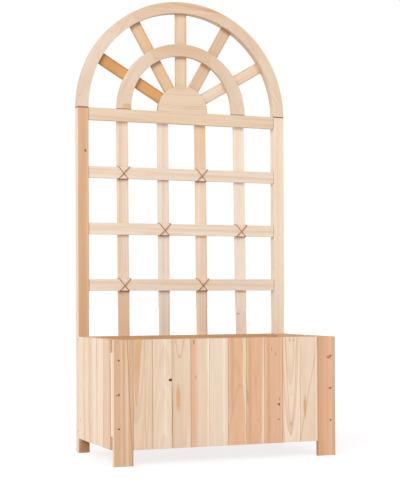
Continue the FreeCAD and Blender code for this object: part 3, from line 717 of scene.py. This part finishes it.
def spokes_and_slats():
    """Spokes, darker beside the arches that they meet, and slats."""
    spoke_colours = [honey, (224, 191, 155), (229, 204, 177), (219, 190, 162), (233, 213, 190)]
    shade = [(0.35, 0.6), (0.5, 0.5), (0.25, 0.2), (0.7, 0.85), (0.4, 0.4)]
    for n, (name, angle) in enumerate(spoke_angles.items()):
        turn = math.radians(angle)
        outwards = Vector((math.cos(turn), 0, math.sin(turn)))
        joints = [
            (fan_middle + outwards * distance, outwards, spoke_shadow_width,
             spoke_shadow_softness, spoke_shadow, strength)
            for distance, strength in zip((inner_arch_inside, arch_inside), shade[n])
        ]
        edge = tan
        if name == "spoke_1":
            edge = (184, 128, 74)
            outer_end = fan_middle + outwards * arch_inside
            joints.append((outer_end, outwards, 90.0, 40.0, (186, 130, 68), 0.4))
        wood(name, lying(angle), sap=spoke_colours[n], heart=tan, pith=(0.03, 0.03), ring=0.005,
             lines=0.3, seed=90.0 + n, joints=joints,
             stripes=[(14, 5, edge, 0.7, 1.5, 0.0), (-15, 3, edge, 0.6, 1.5, 0.0)])
    wood("trellis_slat_1", sap=(235, 216, 196), pith=(0.03, 0.03), ring=0.005, lines=0.2,
         seed=100.0, stripes=[(-7, 12, straw, 0.8, 4.0, 0.0), (-12, 5, sand, 0.7, 2.0, 0.01)],
         joints=[((0, 0, 0.36), (0, 0, 1), 120, 90.0, (222, 172, 128), 0.45)])
    wood("trellis_slat_2", sap=(236, 221, 206), pith=(0.03, 0.03), ring=0.005, lines=0.2,
         seed=101.0, stripes=[(-2, 8, pale_rose, 0.7, 3.0, 0.0)])
    wood("trellis_slat_3", sap=(236, 214, 192), pith=(0.03, 0.03), ring=0.005, lines=0.15,
         seed=102.0,
         stripes=[(8, 12, (240, 212, 184), 0.9, 3.0, 0.0), (15, 2, tan, 0.8, 0.7, 0.0),
                  (-9, 6, shell, 0.8, 2.0, 0.0)],
         joints=[((0, 0, 0.94), (0, 0, 1), 160, 120.0, (220, 178, 138), 0.5)])
    wood("trellis_slat_4", sap=(243, 227, 211), pith=(0.03, 0.03), ring=0.005, lines=0.18,
         seed=103.0, stripes=[(13, 5, ivory, 0.8, 1.5, 0.0), (-4, 8, shell, 0.7, 3.0, 0.0)],
         knots=[((0.1745, 0.162, 0.3865), 0.0052, stain_brown, 0.65, 0.55)])


def rails():
    """The four rails, with a thin dark line at each end, where they meet the posts."""
    saps = {"top_rail": (228, 204, 178), "trellis_rail_1": (234, 217, 198),
            "trellis_rail_2": (238, 221, 203), "trellis_rail_3": (238, 220, 202)}
    for n, (name, sap) in enumerate(saps.items()):
        low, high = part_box(name)
        joints = [
            ((low.x, 0, 0), (1, 0, 0), rail_end_width, rail_end_width, joint_brown, 0.45),
            ((high.x, 0, 0), (1, 0, 0), rail_end_width, rail_end_width, joint_brown, 0.7),
        ]
        wood(name, lying(0), sap=sap, pith=(0.02, 0.035), slope=0.012, ring=0.006, lines=0.2,
             seed=110.0 + n, stripes=[(6 - 3 * n, 8, sand, 0.4, 3.0, 0.01),
                                      (-12, 5, pale_rose, 0.5, 2.0, -0.01)], joints=joints)


# ---- Dowels, metal and ties -------------------------------------------------------------------
def dowels():
    """The hidden dowels, all alike."""
    for n, name in enumerate(("large_dowels", "small_dowels")):
        wood(name, lying(0), sap=tan, seed=120.0 + n)


def metal(name, nodes, bright, dull, metallic, grain_size):
    """Plain metal whose colour and gloss change a little over the surface."""
    material, tree, surface = new_material(name)
    coordinates = tree.nodes.new("ShaderNodeTexCoord").outputs
    scale = (grain_size, grain_size, grain_size)
    place = vector_calc(tree, "MULTIPLY", coordinates["Object"], scale)
    patches = fade(tree, noise(tree, place, 4.0, 0.6), 0.35, 0.65)
    feed(tree, surface.inputs["Base Color"], blend(tree, patches, colour(bright), colour(dull)))
    feed(tree, surface.inputs["Roughness"], fade(tree, patches, 0.0, 1.0, 0.35, 0.60))
    surface.inputs["Metallic"].default_value = metallic
    bump = place_node(
        tree, "ShaderNodeBump", {"Strength": 0.3, "Distance": 0.0001, "Height": patches}
    )
    feed(tree, surface.inputs["Normal"], bump.outputs["Normal"])
    for node_name in nodes:
        dress(node_name, material)


def metal_pieces():
    """Screws, nails and the brown wire of the ties."""
    metal("screw_steel", ("leg_screws", "post_screws"), bright=(150, 112, 82), dull=(96, 66, 44),
          metallic=0.4, grain_size=900.0)
    metal("nail_steel", ("long_nails", "short_nails"), bright=(176, 174, 170),
          dull=(128, 122, 116), metallic=0.9, grain_size=900.0)
    metal("tie_wire", ("trellis_lashings",), bright=(196, 138, 88), dull=(158, 106, 64),
          metallic=0.0, grain_size=700.0)


# ---- Floor, lights and camera -----------------------------------------------------------------
def floor():
    """A wide pale floor that stays near white to the camera, and keeps a faint shadow."""
    mesh = bpy.data.meshes.new("studio_floor")
    shape = bmesh.new()
    bmesh.ops.create_grid(shape, x_segments=1, y_segments=1, size=floor_reach)
    shape.to_mesh(mesh)
    shape.free()
    piece = bpy.data.objects.new("studio_floor", mesh)
    bpy.context.scene.collection.objects.link(piece)
    material, tree, surface = new_material("studio_floor")
    surface.inputs["Base Color"].default_value = floor_colour
    surface.inputs["Roughness"].default_value = 0.9
    surface.inputs["Specular IOR Level"].default_value = 0.0
    seen = tree.nodes.new("ShaderNodeBsdfDiffuse")
    seen.inputs["Color"].default_value = floor_shadow_share
    coordinates = tree.nodes.new("ShaderNodeTexCoord").outputs
    distance = vector_calc(tree, "LENGTH", coordinates["Object"])
    near, near_glow = floor_glow_near
    far, far_glow = floor_glow_far
    strength = fade(tree, distance, near, far, near_glow, far_glow)
    glow = place_node(
        tree, "ShaderNodeEmission", {"Color": floor_glow_colour, "Strength": strength}
    )
    both = tree.nodes.new("ShaderNodeAddShader")
    feed(tree, both.inputs[0], seen.outputs[0])
    feed(tree, both.inputs[1], glow.outputs[0])
    camera_ray = tree.nodes.new("ShaderNodeLightPath").outputs["Is Camera Ray"]
    choice = tree.nodes.new("ShaderNodeMixShader")
    feed(tree, choice.inputs[0], camera_ray)
    feed(tree, choice.inputs[1], surface.outputs[0])
    feed(tree, choice.inputs[2], both.outputs[0])
    feed(tree, tree.nodes["Material Output"].inputs["Surface"], choice.outputs[0])
    mesh.materials.append(material)


def world():
    """Even white light from all round, with a white backdrop for the camera and in metal."""
    scene_world = bpy.data.worlds.new("studio")
    bpy.context.scene.world = scene_world
    scene_world.use_nodes = True
    tree = scene_world.node_tree
    light = tree.nodes["Background"]
    light.inputs["Color"].default_value = sky_colour
    light.inputs["Strength"].default_value = sky_strength
    backdrop = place_node(tree, "ShaderNodeBackground", {"Color": (1, 1, 1, 1), "Strength": 1.0})
    rays = tree.nodes.new("ShaderNodeLightPath").outputs
    seen = calc(tree, "MAXIMUM", rays["Is Camera Ray"], rays["Is Glossy Ray"])
    seen = calc(tree, "MAXIMUM", seen, rays["Is Transmission Ray"])
    choice = tree.nodes.new("ShaderNodeMixShader")
    feed(tree, choice.inputs[0], seen)
    feed(tree, choice.inputs[1], light.outputs[0])
    feed(tree, choice.inputs[2], backdrop.outputs[0])
    feed(tree, tree.nodes["World Output"].inputs["Surface"], choice.outputs[0])


def soft_lamp(name, place, aim, size, power):
    """A round soft lamp that points at its aim."""
    lamp = bpy.data.lights.new(name, "AREA")
    lamp.shape = "DISK"
    lamp.size = size
    lamp.energy = power
    lamp_object = bpy.data.objects.new(name, lamp)
    bpy.context.scene.collection.objects.link(lamp_object)
    lamp_object.location = place
    lamp_object.rotation_euler = (Vector(aim) - Vector(place)).to_track_quat("-Z", "Y").to_euler()


def camera():
    """The camera, low down and to the left of the box, as in the photograph."""
    lens = bpy.data.cameras.new("camera")
    lens.sensor_width = sensor_size
    lens.lens = camera_reach / max(picture_width, picture_height) * sensor_size
    lens.shift_y = camera_shift
    lens.clip_end = 200.0
    camera_object = bpy.data.objects.new("camera", lens)
    bpy.context.scene.collection.objects.link(camera_object)
    camera_object.matrix_world = (
        Matrix.Translation(camera_place)
        @ Matrix.Rotation(math.radians(camera_heading), 4, "Z")
        @ Matrix.Rotation(math.radians(90 + camera_tilt), 4, "X")
        @ Matrix.Rotation(math.radians(camera_roll), 4, "Z")
    )
    bpy.context.scene.camera = camera_object


front_boards()
side_boards()
box_inside()
arched_frame()
spokes_and_slats()
rails()
dowels()
metal_pieces()
floor()
world()
soft_lamp("key_lamp", key_place, key_aim, key_size, key_power)
camera()
bpy.context.scene.view_settings.view_transform = "Standard"
